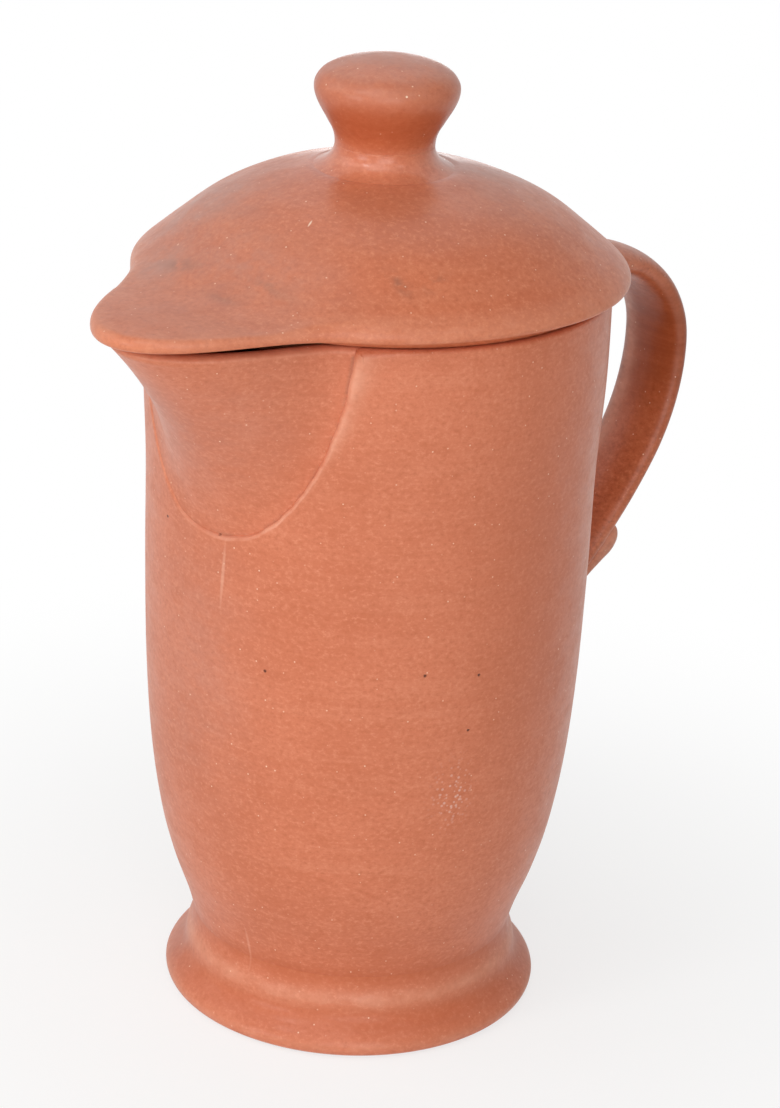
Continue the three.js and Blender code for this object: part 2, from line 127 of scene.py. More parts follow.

# %% [markdown]
# ## Marks of hands and fire, and painted light and shade
#
# Smoke, embers, salt and dirty fingers mark a pot in one place only. Such marks could be painted on by hand.
# Here each is an egg-shaped cloud, so that it can be read and moved: its middle and its reach in
# millimetres, and its strength. Haze is a grey veil, partly smoke and partly painted sheen where grazing
# light greys the clay. Smudges are dirt, with painted shade added in the spout's joint. The bloom is salt.
# Embers paint a deeper orange, partly fire colour and partly painted shade under and beside the knob's
# head, round its foot, in the foot ring's hollows and on the strap. The gloss is the ring round the knob's
# foot that a wet finger smoothed.

# %% The marks, by paint
MARKS = {
    # haze: a grey veil, smoke on the lid's front and left, and painted sheen on the lid's top at the back,
    # the knob's top and the strap's edges
    "haze": [
        ((0, -68, 190), (26, 16, 22), 0.35), ((0, -55, 225), (30, 14, 9), 0.7),
        ((-22, -58, 221), (14, 14, 9), 0.85), ((-32, -40, 229), (26, 30, 14), 0.8),
        ((20, 32, 238), (30, 30, 7), 0.6), ((0, 0, 268), (24, 24, 7), 0.65),
        ((-14, -12, 260), (9, 9, 8), 0.45), ((3, 96, 160), (5, 14, 42), 0.8),
        ((3, 107, 178), (5, 12, 26), 0.5), ((14, 84, 204), (22, 16, 5), 0.35),
        ((18, 84, 114), (9, 10, 9), 0.6), ((-38, -34, 6), (16, 16, 10), 0.45),
        ((-4, -60, 112), (16, 16, 40), 0.3),
    ],
    # smudge: dirt on the lid; the skins add the painted shade of the spout's joint to this paint
    "smudge": [
        ((-16, -59, 221), (7, 1.8, 3), 0.6), ((6, -66, 219.5), (6, 1.6, 3), 0.5),
        ((13.8, -58, 223), (9, 1.5, 3), 0.5), ((40, -37, 225), (5, 1.6, 3), 0.8),
        ((45, -30, 225.5), (1.6, 4, 3), 0.7),
    ],
    "bloom": [((54.7, -23.1, 83.5), (4.5, 4.5, 7.5), 0.8)],
    # ember: deeper orange, partly fire colour and partly painted shade under and beside the knob's head, in
    # the crease round its foot, in the foot ring's hollows and down the strap
    "ember": [
        ((0, 0, 257), (30, 30, 9), 1.0), ((0, 0, 269), (22, 22, 4), 0.35),
        ((-14, -12, 262), (10, 10, 9), 1.0), ((14, 12, 262), (9, 9, 8), 0.75),
        ((0, 0, 238), (27, 27, 2.0), 0.4), ((-2, -87, 217), (16, 10, 9), 0.25),
        ((60, 6, 150), (14, 26, 70), 0.3), ((0, 0, 21.5), (80, 80, 2.6), 0.75),
        ((0, 0, 9.0), (80, 80, 3.4), 0.65), ((14, 104, 178), (40, 16, 30), 1.0),
    ],
    "gloss": [((0, 0, 243), (20, 20, 3.5), 1.2)],
}


def mark_strengths(points, marks):
    """Strength of some marks at each point: the greatest of a bell over the stretched distance to each."""
    shares = [power * np.exp(-(((points - middle) / reach) ** 2).sum(-1)) for middle, reach, power in marks]
    return np.max(shares, axis=0)


print("marks:", {paint: len(marks) for paint, marks in MARKS.items()})

# %% [markdown]
# ## The skin
#
# Each square of four neighbouring points of a grid becomes a face, and the ends are closed with a fan, so
# that every piece is one watertight skin. The marks, the wear with its painted highlights and the painted
# shade in the spout's joint go into the mesh as numbers on its points, where the material can read them.

# %% A closed skin over a grid
def clay_skin(name, grid, ring=False, wear=0.0, crease=0.0):
    """A closed mesh over grid[rows, columns] in millimetres. The columns close on themselves. The rows
    close too where the piece is a ring, and otherwise each end row is drawn together in its middle point.
    The faces are turned over where the enclosed volume, a sixth of the sum of each face's first corner times
    the cross product of the other two, comes out negative. wear says how pale each point of the grid is
    painted, from 0 to 1: rubbed clay, and painted highlight on the foot, the knob and beside the cut. crease
    says how much painted shade lies on it, in the spout's joint."""
    rows, columns = grid.shape[:2]
    index = np.arange(rows * columns).reshape(rows, columns)
    here, there = (index, np.roll(index, -1, 0)) if ring else (index[:-1], index[1:])
    quads = np.stack([here, np.roll(here, -1, 1), np.roll(there, -1, 1), there], -1).reshape(-1, 4)
    points = grid.reshape(-1, 3)
    rubbed_and_highlit, joint_shade = [np.broadcast_to(paint, (rows, columns)).reshape(-1) for paint in (wear, crease)]
    tips = np.zeros((0, 3), int)
    if not ring:
        points = np.vstack([points, grid[0].mean(0), grid[-1].mean(0)])
        rubbed_and_highlit, joint_shade = [np.append(paint, [paint[0], paint[-columns]]) for paint in (rubbed_and_highlit, joint_shade)]
        first, last = index[0], index[-1]
        tips = np.vstack([
            np.stack([np.full(columns, rows * columns), np.roll(first, -1), first], -1),
            np.stack([np.full(columns, rows * columns + 1), last, np.roll(last, -1)], -1),
        ])
    corners = np.vstack([quads[:, [0, 1, 2]], quads[:, [0, 2, 3]], tips])
    a, b, c = points[corners[:, 0]], points[corners[:, 1]], points[corners[:, 2]]
    volume = (a * np.cross(b, c)).sum() / 6
    if volume < 0:
        quads, tips = quads[:, ::-1], tips[:, ::-1]
    mesh = bpy.data.meshes.new(name)
    mesh.from_pydata((points * MM).tolist(), [], quads.tolist() + tips.tolist())
    mesh.polygons.foreach_set("use_smooth", np.ones(len(mesh.polygons), bool))
    paints = {"wear": rubbed_and_highlit} | {paint: mark_strengths(points, marks) for paint, marks in MARKS.items()}
    # The painted shade of the spout's joint joins the smudges of dirt.
    paints["smudge"] = np.maximum(joint_shade, paints["smudge"])
    for paint, amount in paints.items():
        mesh.attributes.new(paint, "FLOAT", "POINT").data.foreach_set("value", amount.astype(np.float32))
    mesh.update()
    piece = bpy.data.objects.new(name, mesh)
    bpy.context.collection.objects.link(piece)
    print(name, len(mesh.polygons), "faces,", round(abs(volume) / 1000, 1), "cubic centimetres of clay")
    return piece


print("a skin carries the paints wear,", ", ".join(MARKS))

# %% [markdown]
# ## The body's outline and the cut for the spout
#
# A potter throws the body as one round wall, then cuts a U out of its front and lays the spout in it. The
# outline is a curve through ten points, each a share of the way from the stem out and up to the rim, because
# shares still fit when the rim or the stem changes its size. The U is a superellipse: its half width and its
# depth both come from one turning number.

# %% Outline of the wall and the shape of the U
RIM, RIM_RADIUS, WALL, STEM, STEM_TOP = 210.3, 62.7, 4.8, 45.1, 19.5
SPOUT_HALF, SPOUT_DEPTH = np.radians(36.5), 57.7
outline = smooth_line([
    [STEM + (RIM_RADIUS - STEM) * out, STEM_TOP + (RIM - STEM_TOP) * up] for out, up in [
        [0, 0], [0.153, 0.05], [0.398, 0.113], [0.602, 0.186], [0.773, 0.291],
        [0.875, 0.422], [0.92, 0.579], [0.938, 0.736], [1.006, 0.878], [1, 1],
    ]
], 400)


def wall_radius(height):
    """The radius of the wall's outside, read off the outline at a height."""
    return np.interp(height, outline[:, 1], outline[:, 0])


def seam(turn, spread=0.0):
    """The U: its angle is the 2/2.3 power of the sine, its depth the 2/1.6 power of the cosine."""
    across = np.sign(turn) * np.abs(np.sin(turn)) ** (2 / 2.3)
    down = np.abs(np.cos(turn)) ** (2 / 1.6)
    return across * (SPOUT_HALF + spread / RIM_RADIUS), RIM - down * (SPOUT_DEPTH + spread)


u_angle, u_height = seam(np.linspace(-np.pi / 2, np.pi / 2, 1201))
seam_flat = np.stack([u_angle * RIM_RADIUS, u_height], -1)[::6]


def from_seam(angle, height):
    """Distance of each point on the wall to the U, in millimetres, on the unrolled wall."""
    flat = np.stack([angle * RIM_RADIUS, height], -1)
    return np.sqrt(((flat[..., None, :] - seam_flat) ** 2).sum(-1)).min(-1)


print("the U is", round(2 * float(seam_flat[-1, 0]), 1), "mm wide along the wall and", SPOUT_DEPTH, "mm deep")

# %% [markdown]
# ## The top edge of the wall
#
# Unrolled flat, the top of the wall is one line: along the rim, down and up the U, and along the rim again.
# Wet clay rounds the sharp corners that a knife leaves, so the line is softened. A bevel could round it, but
# doesn't waver. A hand does, so the cut trembles by a fifth of a millimetre, more on its right side.

# %% The line of the top edge
EDGE_COLUMNS, RIM_STEPS = 520, 600
SOFT_CORNER, TREMBLE = 0.9, 0.22


def even_steps(line, count):
    """The same line with its points at equal distances along it."""
    way = np.append(0, np.cumsum(np.linalg.norm(np.diff(line, axis=0), axis=1)))
    return np.stack([np.interp(np.linspace(0, way[-1], count), way, line[:, k]) for k in (0, 1)], -1)


def soften(line, reach):
    """A line whose every point is the mean of its neighbours, with bell weights over reach millimetres."""
    step = np.linalg.norm(line[1] - line[0])
    far = int(3 * reach / step)
    weights = np.exp(-0.5 * (np.arange(-far, far + 1) * step / reach) ** 2)
    ends = np.arange(1, far + 1)[:, None]
    before = line[0] - ends[::-1] * (line[1] - line[0])
    after = line[-1] + ends * (line[-1] - line[-2])
    padded = np.vstack([before, line, after])
    return np.stack([np.convolve(padded[:, k], weights / weights.sum(), "valid") for k in (0, 1)], -1)


def left_of(line):
    """At each point of a flat line, the unit vector to the left of its course."""
    course = np.gradient(line, axis=0)
    course /= np.linalg.norm(course, axis=1)[:, None]
    return np.stack([-course[:, 1], course[:, 0]], -1)


rim_left = np.linspace(-np.pi, -SPOUT_HALF, RIM_STEPS, endpoint=False)
rim_high = np.full(RIM_STEPS, RIM)
sharp_edge = np.stack([
    np.concatenate([rim_left, u_angle, -rim_left[::-1]]) * RIM_RADIUS,
    np.concatenate([rim_high, u_height, rim_high]),
], -1)
edge_flat = even_steps(soften(even_steps(sharp_edge, 3000), SOFT_CORNER), EDGE_COLUMNS + 1)[:-1]
into_opening = left_of(edge_flat)
hand = np.random.default_rng(7)
wavering = np.convolve(hand.normal(size=len(edge_flat) + 8), np.hanning(9) / 4, "valid")
cut_share = np.clip((RIM - 4 - edge_flat[:, 1]) / 8, 0, 1)
wavering = TREMBLE * wavering * cut_share * (1 + 0.5 * np.sign(edge_flat[:, 0]))
edge_flat = edge_flat + wavering[:, None] * into_opening
print("the cut trembles by up to", round(float(np.abs(wavering).max()), 2), "mm")

# %% [markdown]
# ## The body's columns
#
# Low down the columns of the skin stand evenly round the axis, and towards the top they drift to the points
# of the edge line, so the U comes out crisp. A Boolean modifier would leave long thin faces along the cut.
# Where the spout was luted in, the tool pushed up a low ridge of clay, wider near the rim and on the right,
# where the thumb pressed harder.

# %% Where the columns stand, and the ridge beside the cut
near_right = bell(edge_flat[:, 0], SPOUT_HALF * RIM_RADIUS, 9)
edge_round = 1.2 + 1.1 * near_right * np.clip((edge_flat[:, 1] - 168) / 30, 0, 1)
even_angle = -np.pi + 2 * np.pi * np.arange(EDGE_COLUMNS) / EDGE_COLUMNS
top = edge_flat - edge_round[:, None] * into_opening
top[:, 0] = np.maximum.accumulate(top[:, 0]) + 1e-4 * np.arange(EDGE_COLUMNS)


def on_wall(share):
    """Angle and height at a share of the way up: a straight mix of an even place on the stem and the place
    under the top edge."""
    share = share[:, None]
    angle = (1 - share) * even_angle + share * top[:, 0] / RIM_RADIUS
    return angle, STEM_TOP + share * (top[:, 1] - STEM_TOP)


def right_share(angle):
    """From 0 left of the spout to 1 right of it, where the thumb pressed the joint harder."""
    return 0.5 + 0.5 * np.tanh(angle / 0.25)


def ridge(angle, height):
    """How far the clay stands up beside the cut: a bell over the distance to the U, low at its foot."""
    up = np.clip((height - 150) / 60, 0, 1)
    return (0.05 + 0.35 * up * right_share(angle)) * bell(from_seam(angle, height), 0, 1.4 + 2.6 * up)


print(EDGE_COLUMNS, "columns, the top edge rounded by up to", round(float(edge_round.max()), 1), "mm")

# %% [markdown]
# ## The body's rows
#
# The skin of the body runs from the middle of its underside up the outside, over the top edge and down the
# inside to the middle of the floor. One sheet thickened with a Solidify modifier would be quicker, but the
# rounded lip and the thicker floor are what a thrown pot shows when its lid is off.

# %% Rows of the body's skin
OUTER_ROWS, INNER_ROWS = 96, 60
FLOOR_THICK, FLOOR_ROUND = 7.0, 9.0
outer_angle, outer_height = on_wall(np.linspace(0, 1, OUTER_ROWS))
outer_ridge = ridge(outer_angle, outer_height)
outside = round_axis(wall_radius(outer_height) + outer_ridge, outer_angle, outer_height)

lip = np.radians(np.linspace(0, 90, 6))[1:, None]
depth = np.concatenate([
    edge_round * (1 - np.cos(lip)), np.full((1, EDGE_COLUMNS), WALL / 2),
    WALL - edge_round * (1 - np.sin(lip)),
])
forward = np.concatenate([edge_round * np.sin(lip), edge_round[None, :], edge_round * np.cos(lip)])
lip_flat = top + forward[..., None] * into_opening
over = round_axis(
    wall_radius(lip_flat[..., 1]) - depth + outer_ridge[-1] * (1 - depth / WALL),
    lip_flat[..., 0] / RIM_RADIUS, lip_flat[..., 1],
)

inner_angle, inner_height = on_wall(np.linspace(1, 0, INNER_ROWS)[1:])
lean = np.hypot(1, np.gradient(outline[:, 0], outline[:, 1]))
inner_wall = wall_radius(inner_height) - WALL * np.interp(inner_height, outline[:, 1], lean)
inside = round_axis(inner_wall, inner_angle, inner_height)
corner = np.radians(np.linspace(0, 90, 9))
corner_radius = STEM - WALL - FLOOR_ROUND * (1 - np.cos(corner))
corner_height = FLOOR_THICK + FLOOR_ROUND - FLOOR_ROUND * np.sin(corner)
floor_radius = np.concatenate([corner_radius, np.linspace(30, 1.5, 12)])
floor_height = np.concatenate([corner_height, np.full(12, FLOOR_THICK)])
floor = round_axis(floor_radius[:, None], even_angle, floor_height[:, None])
under_radius = np.concatenate([np.linspace(1.5, STEM - 0.8, 16), [STEM - 0.2, STEM, STEM]])
under_height = np.concatenate([np.zeros(16), [0.15, 0.8, 10.0]])
underside = round_axis(under_radius[:, None], even_angle, under_height[:, None])
body_parts = [underside, outside, over, inside, floor]
body_grid = np.concatenate(body_parts)
print("rows:", [len(part) for part in body_parts])

# %% [markdown]
# ## The rubbed cut, with a painted highlight
#
# Burnishing and years of pouring rub the proud clay beside the joint paler, and a painted highlight widens
# the pale band on the right near the rim, where the light catches the ridge. The mesh's curvature could show
# where, but the rubbing and the highlight are stronger on one side here, so they follow the distance to the
# U instead.

# %% Rub the clay beside the cut, paint its highlight, and close the body
beside_cut = from_seam(outer_angle, outer_height)
pushed = (0.35 + 0.65 * right_share(outer_angle)) * np.clip((outer_height - 148) / 40, 0.4, 1)
wide = 1.1 + 3.8 * np.clip((outer_height - 172) / 32, 0, 1) * right_share(outer_angle)
on_cut = np.clip((RIM - 1 - edge_flat[:, 1]) / 3, 0, 1)
wall_start, lip_start = len(underside), len(underside) + OUTER_ROWS
body_wear_and_highlight = np.zeros(body_grid.shape[:2])
# Rubbed clay and a painted highlight beside the cut, widest on the right near the rim.
body_wear_and_highlight[wall_start:lip_start] = pushed * bell(beside_cut, 0, wide)
body_wear_and_highlight[lip_start:lip_start + len(depth)] = on_cut * (0.35 + 0.65 * right_share(top[:, 0] / RIM_RADIUS))
jug_body = clay_skin("jug_body", body_grid, wear=body_wear_and_highlight)

# %% [markdown]
# ## The foot ring
#
# The foot is a collar of clay turned onto the stem. Its section was read off the picture: a soft shoulder,
# a near-upright hollow under it, a slope that runs out to the table and a rounded edge. A Screw modifier
# could turn it, but a closed section carried round the axis can hold painted highlights too: a broad band
# on the shoulder and a glint along the rounded edge. Its top dips under the body's skin, which leaves one
# soft crease.

# %% Model the foot ring
FOOT_ROWS, ROUND_COLUMNS = 72, 256
foot_line = smooth_line([
    [45.9, 25.0], [45.75, 22.6], [45.72, 21.0], [45.8, 19.7], [45.98, 18.5], [46.25, 17.3], [46.6, 16.1],
    [47.0, 14.9], [47.32, 13.7], [47.52, 12.5], [47.7, 11.3], [48.05, 10.1], [48.75, 8.9], [49.9, 7.6],
    [51.1, 6.5], [52.3, 5.2], [53.1, 3.9], [53.3, 2.7], [52.8, 1.2], [51.4, 0.15],
], FOOT_ROWS)
foot_inside = np.array([[48.0, 0.0], [45.0, 0.1], [44.3, 1.0], [44.3, 12.0], [44.8, 23.0]])
foot_section = np.vstack([foot_line, foot_inside])
round_angle = 2 * np.pi * np.arange(ROUND_COLUMNS) / ROUND_COLUMNS
foot_grid = round_axis(foot_section[:, :1], round_angle, foot_section[:, 1:])
# Painted highlights, carried as pale paint: a broad band on the shoulder at 15 mm and a glint along the
# rounded edge at 3 mm.
foot_highlight = np.zeros(len(foot_section))
foot_highlight[:FOOT_ROWS] = 0.45 * bell(foot_line[:, 1], 3.0, 1.5) + 0.6 * bell(foot_line[:, 1], 15.0, 2.4)
foot = clay_skin("turned_foot", foot_grid, ring=True, wear=foot_highlight[:, None])

# %% [markdown]
# ## The spout's two sides
#
# The spout is a tongue of clay pulled forwards from the wall. At its joint it lies up to a millimetre and a
# half deeper than the wall, and it flares more and more towards the lip. It could be sculpted. Two formulas
# for its outer and its inner radius keep the wall one thickness all the way to the lip.

# %% The spout's outside and inside
SPOUT_REACH, TUCK, LIP, FADE = 32.4, 1.7, 1.9, 16
spout_turn = np.linspace(-np.pi / 2, np.pi / 2, 203)[1:-1]
low_angle, low_height = seam(spout_turn, TUCK)
whole = np.linspace(-1, 1, 4001) * (SPOUT_HALF + TUCK / RIM_RADIUS)
u_low = np.interp(whole, u_angle, u_height, left=RIM, right=RIM)


def spout_outside(angle, height):
    """Outer radius: the wall's radius, less the set-back that fades over 16 mm from the joint, plus the
    bulge across the front times the 1.9 power of the share of the way up from the joint. The set-back is
    0.25 mm on the left and 1.4 mm on the right."""
    joint = np.interp(angle, whole, u_low)
    rise = np.clip((height - joint) / np.maximum(RIM - joint, 1e-6), 0, 1)
    share = np.minimum(1, np.abs(angle) / SPOUT_HALF)
    inwards = np.clip(from_seam(angle, height) / FADE, 0, 1) * (height > joint)
    set_back = (0.25 + 1.15 * right_share(angle)) * (1 - inwards ** 2 * (3 - 2 * inwards))
    return wall_radius(height) - set_back + SPOUT_REACH * (1 - share ** 2) ** 2.8 * rise ** 1.9


def spout_inside(angle, height):
    """Inner radius: one wall inside the outer one, measured square to the slope and the sweep of the
    surface, and smeared into the body's own inside along the joint."""
    step = 0.01
    radius = spout_outside(angle, height)
    slope = (radius - spout_outside(angle, height - step)) / step
    sweep = (spout_outside(angle + step, height) - spout_outside(angle - step, height)) / (2 * step * radius)
    steep = np.hypot(np.hypot(1, np.clip(slope, 0, 1.2)), np.minimum(np.abs(sweep), 1.2))
    return radius - WALL * steep + 1.1 * bell(from_seam(angle, height), 0, 5)


print("the lip stands", round(float(spout_outside(np.zeros(1), np.full(1, RIM))[0]), 1), "mm from the axis")

# %% [markdown]
# The tongue is drawn as upright loops, up the outside, over the rounded lip and down the inside. They reach a
# little past the U into the wall's own thickness, so no gap shows. A thin line of painted shade lies in the
# joint, darker on the right, where the step beside the cut shadows the spout.

# %% Model the spout
SPOUT_ROWS = 64
up_share = np.linspace(0, 1, SPOUT_ROWS)[:, None] ** 1.4
spout_height = low_height + (RIM - LIP - low_height) * up_share
spout_height = np.where(low_height > RIM - LIP, low_height, spout_height)
spout_angle = np.broadcast_to(low_angle, spout_height.shape)
out_radius = spout_outside(spout_angle, spout_height)
in_radius = spout_inside(spout_angle, spout_height)
over_turn = np.radians(np.linspace(0, 180, 15))[1:-1, None]
middle, half = (out_radius[-1] + in_radius[-1]) / 2, (out_radius[-1] - in_radius[-1]) / 2
lip_height = spout_height[-1] + np.maximum(RIM - 0.1 - spout_height[-1], 0.3) * np.sin(over_turn) ** 0.8
spout_loop = np.concatenate([
    round_axis(out_radius, spout_angle, spout_height),
    round_axis(middle + half * np.cos(over_turn), low_angle, lip_height),
    round_axis(in_radius, spout_angle, spout_height)[::-1],
])
spout_wear, spout_joint_shade = np.zeros((2, *spout_loop.shape[:2]))
spout_wear[:SPOUT_ROWS] = 0.4 * np.clip((spout_height - RIM + 4) / 4, 0, 1) ** 2
spout_wear[SPOUT_ROWS:-SPOUT_ROWS] = 0.5
# Painted shade in the joint, darker on the right, where the step beside the cut shadows the spout.
in_joint = bell(from_seam(spout_angle, spout_height), 0, 0.7)
spout_joint_shade[:SPOUT_ROWS] = 0.65 * (0.25 + 0.75 * right_share(spout_angle)) * in_joint
spout = clay_skin("pulled_spout", spout_loop.transpose(1, 0, 2), wear=spout_wear.T, crease=spout_joint_shade.T)

# %% [markdown]
# ## The strap handle
#
# A handle like this is pulled as a long strap and bent while it is soft. Its line was read off the picture
# as fourteen points in one upright plane. A curve with a bevel would keep one section, so a flattened loop is
# carried along instead, and swells at both roots, where it is pressed on. Its inner side is rubbed paler,
# where the fingers close round it.

# %% Model the strap
HANDLE_ANGLE = np.radians(172)
STRAP_HALF_WIDTH, STRAP_HALF_THICK = 11.7, 4.2
STRAP_ROWS = 150
strap_points = np.array([
    [-3.2, 12.6], [4.3, 9.1], [15.8, 7.3], [27.6, 9.6], [37.7, 17.3], [43.7, 28.1], [44.7, 39.8],
    [42.5, 52.3], [37.8, 63.9], [30.8, 74.8], [22.6, 85.1], [13.3, 95], [2.8, 104.3], [-3.2, 109.3],
])
strap_line = np.stack([RIM_RADIUS + strap_points[:, 0], RIM - strap_points[:, 1]], -1)
strap_path = even_steps(smooth_line(strap_line, STRAP_ROWS), STRAP_ROWS)


def superellipse(count, half_width, half_height, power):
    """A loop between an ellipse and a rectangle: the cosine and the sine to the power of 2 over power."""
    turn = 2 * np.pi * (np.arange(count) + 0.5) / count
    wave = np.stack([np.cos(turn), np.sin(turn)], -1)
    return np.sign(wave) * np.abs(wave) ** (2 / power) * [half_width, half_height]


def handle_plane(out, up, across):
    """Points in the handle's upright plane, out from the axis and up, set across it by a distance."""
    facing = np.array([np.sin(HANDLE_ANGLE), -np.cos(HANDLE_ANGLE), 0.0])
    sideways = np.array([np.cos(HANDLE_ANGLE), np.sin(HANDLE_ANGLE), 0.0])
    return out[..., None] * facing + across[..., None] * sideways + up[..., None] * np.array([0.0, 0.0, 1.0])


strap_out = left_of(strap_path)
share = np.linspace(0, 1, STRAP_ROWS)
root = bell(share, 0, 0.03) + bell(share, 1, 0.03)
section = superellipse(96, STRAP_HALF_WIDTH, STRAP_HALF_THICK, 2.15)
across = section[:, 0] * (1 + 0.12 * root[:, None])
thick = section[:, 1] * (1 + 0.35 * root[:, None])
strap_grid = handle_plane(
    strap_path[:, :1] + strap_out[:, :1] * thick, strap_path[:, 1:] + strap_out[:, 1:] * thick, across,
)
corner_wear = 0.15 * bell(np.abs(section[:, 0]), STRAP_HALF_WIDTH - 0.5, 0.9)
finger_wear = 0.8 * bell(section[:, 0], 7.0, 3.2) * (section[:, 1] < 0)
strap = clay_skin("strap_handle", strap_grid, wear=(corner_wear + finger_wear)[None, :])

# %% [markdown]
# ## The lug
#
# Under the strap's lower root sits a pad of clay that was pressed on to hold it, and its end is left as a
# rounded nose. It could be a scaled ball, but it follows the strap's back closely, so it is drawn between a
# line along its underside and one along the strap, and narrows to the nose.

# %% Model the lug under the strap's lower root
LUG_ROWS, LUG_HALF_WIDTH = 60, 11.0
lug_line = smooth_line([
    [57, 91.6], [60.5, 92], [69.5, 100.9], [77.9, 108.5], [83.5, 112.2],
    [87.5, 114.5], [89.3, 117.6], [89.0, 120.6], [87.3, 122.6],
], LUG_ROWS)
strap_back = smooth_line([[56, 100], [63, 104.5], [70, 110], [77, 116], [82, 120.6], [85.5, 124.2]], LUG_ROWS)
lug_middle, lug_half = (lug_line + strap_back) / 2, np.linalg.norm(strap_back - lug_line, axis=1) / 2
lug_up = (strap_back - lug_line) / (2 * lug_half[:, None])
lug_loop = superellipse(64, 1, 1, 2.8)
nose_share = np.clip((np.linspace(0, 1, LUG_ROWS) - 0.7) / 0.3, 0, 1)
ease = np.sqrt(1 - 0.97 * nose_share ** 2.4)[:, None]
lug_out = lug_middle[:, :1] + lug_up[:, :1] * lug_half[:, None] * lug_loop[:, 1]
lug_high = lug_middle[:, 1:] + lug_up[:, 1:] * lug_half[:, None] * lug_loop[:, 1]
lug_grid = handle_plane(lug_out, lug_high, LUG_HALF_WIDTH * lug_loop[:, 0] * (0.55 + 0.45 * ease))
lug_wear = 0.7 * bell(np.abs(lug_loop[:, 0]), 0.95, 0.25)
lug = clay_skin("handle_lug_pad", lug_grid, wear=lug_wear[None, :])

# %% [markdown]
# ## The heights of the lid
#
# The lid is a thrown dome with a rounded edge, and its front is pulled out into a flat beak that covers the
# spout. The dome's height is a curve over its radius, and the beak is a second, nearly flat height. A Boolean
# union would leave a hard line between them. A soft maximum leaves the same gentle hollow as a thumb does.

# %% Heights of the dome and the beak
LID_BASE, LID_RADIUS, PAD, LID_RISE = RIM + 0.3, 67.3, 20.3, 30.3
BEAK_REACH, BEAK_SOFT, BEAK_ROUND, BEAK_HEIGHT = 31.7, 2.7, 555, 7.5
BEAK_HALF, HOLLOW_HALF = np.radians([49, 75])
dome_line = smooth_line([[PAD + (LID_RADIUS - PAD) * out, LID_RISE * up] for out, up in [
    [0, 1], [0.206, 0.911], [0.398, 0.805], [0.611, 0.64], [0.806, 0.409], [0.94, 0.238], [1.164, -0.05],
]], 300)


def dome(radius):
    """Height of the round dome over its seat, read off its curve."""
    return np.interp(radius, dome_line[:, 0], dome_line[:, 1])


def drawn_in(angle):
    """The lid's share of its round size: 3.5 percent less in two bells, 68 degrees either side."""
    return 1 - 0.035 * bell(np.abs(angle), np.radians(68), np.radians(25))


def beak_bulge(angle):
    """How far the beak stands out: the sixth power of one less the squared share of its half angle."""
    return BEAK_REACH * (1 - np.minimum(1, np.abs(angle) / BEAK_HALF) ** 2) ** 6


def lid_top(radius, angle):
    """Height of the upper side: the dome, and over the front the soft maximum of the dome and the beak."""
    high = dome(radius / drawn_in(angle))
    along = np.maximum(0, radius * np.cos(angle) - RIM_RADIUS)
    beak = BEAK_HEIGHT - 0.08 * along - (radius * np.sin(angle)) ** 2 / (2 * BEAK_ROUND)
    both = BEAK_SOFT * np.logaddexp(high / BEAK_SOFT, beak / BEAK_SOFT)
    return high + (both - high) * (1 - np.minimum(1, np.abs(angle) / HOLLOW_HALF) ** 2) ** 2


print("the beak reaches", round(LID_RADIUS + float(beak_bulge(np.zeros(1))[0]), 1), "mm from the axis")

# %% [markdown]
# ## The lid
#
# The skin of the lid runs from its middle out to the edge, round it, and back in under the seat to the
# hollow. Its columns crowd towards the front, where the beak bends most. A Subdivision modifier would smooth
# a coarser grid, but draw the edge in. The lid has warped a little in the fire, so its lower edge stands up
# to 0.8 mm higher in two places, which leaves the dark gaps over the spout and on the right.

# %% Model the lid shell
EDGE_DROP, BEND_ROWS, LOWER_ROWS, LID_WALL, SEAT_INNER = 2.8, 9, 7, 5, 61
even = np.linspace(-1, 1, 361)[:-1]
lid_angle = np.pi * even - 0.5 * np.sin(np.pi * even)
bulge = beak_bulge(lid_angle)
edge = LID_RADIUS * drawn_in(lid_angle) + bulge
edge_height = 3.4 - 1.1 * (bulge / BEAK_REACH) ** 2
start = edge - EDGE_DROP
top_share = np.linspace(0, 1, 71)[1:, None] ** 0.9
top_radius = start * top_share
top_height = lid_top(top_radius, lid_angle)
slope = (top_height[-1] - lid_top(start - 0.5, lid_angle)) / 0.5
bend_height = np.maximum(edge_height, top_height[-1] + slope * EDGE_DROP)


def bend(first, control, last, count):
    """A curve that leaves first towards control and arrives at last from it: the weights are the squares
    and twice the product of the two shares of the way."""
    t = np.linspace(0, 1, count)[1:, None]
    return (1 - t) ** 2 * first + 2 * t * (1 - t) * control + t ** 2 * last


upper_radius = bend(start, edge, edge, BEND_ROWS)
upper_height = bend(top_height[-1], bend_height, edge_height, BEND_ROWS)
lifted = 0.3 + 0.5 * bell(lid_angle, 0.45, 0.4) + 0.5 * bell(lid_angle, 1.9, 0.45)
under_height = edge_height - 1.8 + lifted
lower_radius = bend(edge, edge, edge - 1.8, LOWER_ROWS)
lower_height = bend(edge_height, under_height, under_height, LOWER_ROWS)
seat_share = np.linspace(0, 1, 14)[1:, None]
seat_radius = lower_radius[-1] + (SEAT_INNER - lower_radius[-1]) * seat_share
seat_height = lower_height[-1] * (1 - seat_share)
hollow_radius = np.concatenate([[55.0, 49.5], np.linspace(49.3, 1.0, 40)])
hollow_slope = np.gradient(dome(hollow_radius[2:]), hollow_radius[2:])
hollow_height = np.concatenate([[0.0, 0.0], dome(hollow_radius[2:]) - LID_WALL * np.hypot(1, hollow_slope)])
lid_rows = [
    (top_radius, top_height), (upper_radius, upper_height), (lower_radius, lower_height),
    (seat_radius, seat_height), (hollow_radius[:, None], hollow_height[:, None]),
]
lid_grid = np.concatenate([round_axis(r, lid_angle, LID_BASE + h) for r, h in lid_rows])
lid_wear = np.zeros(lid_grid.shape[:2])
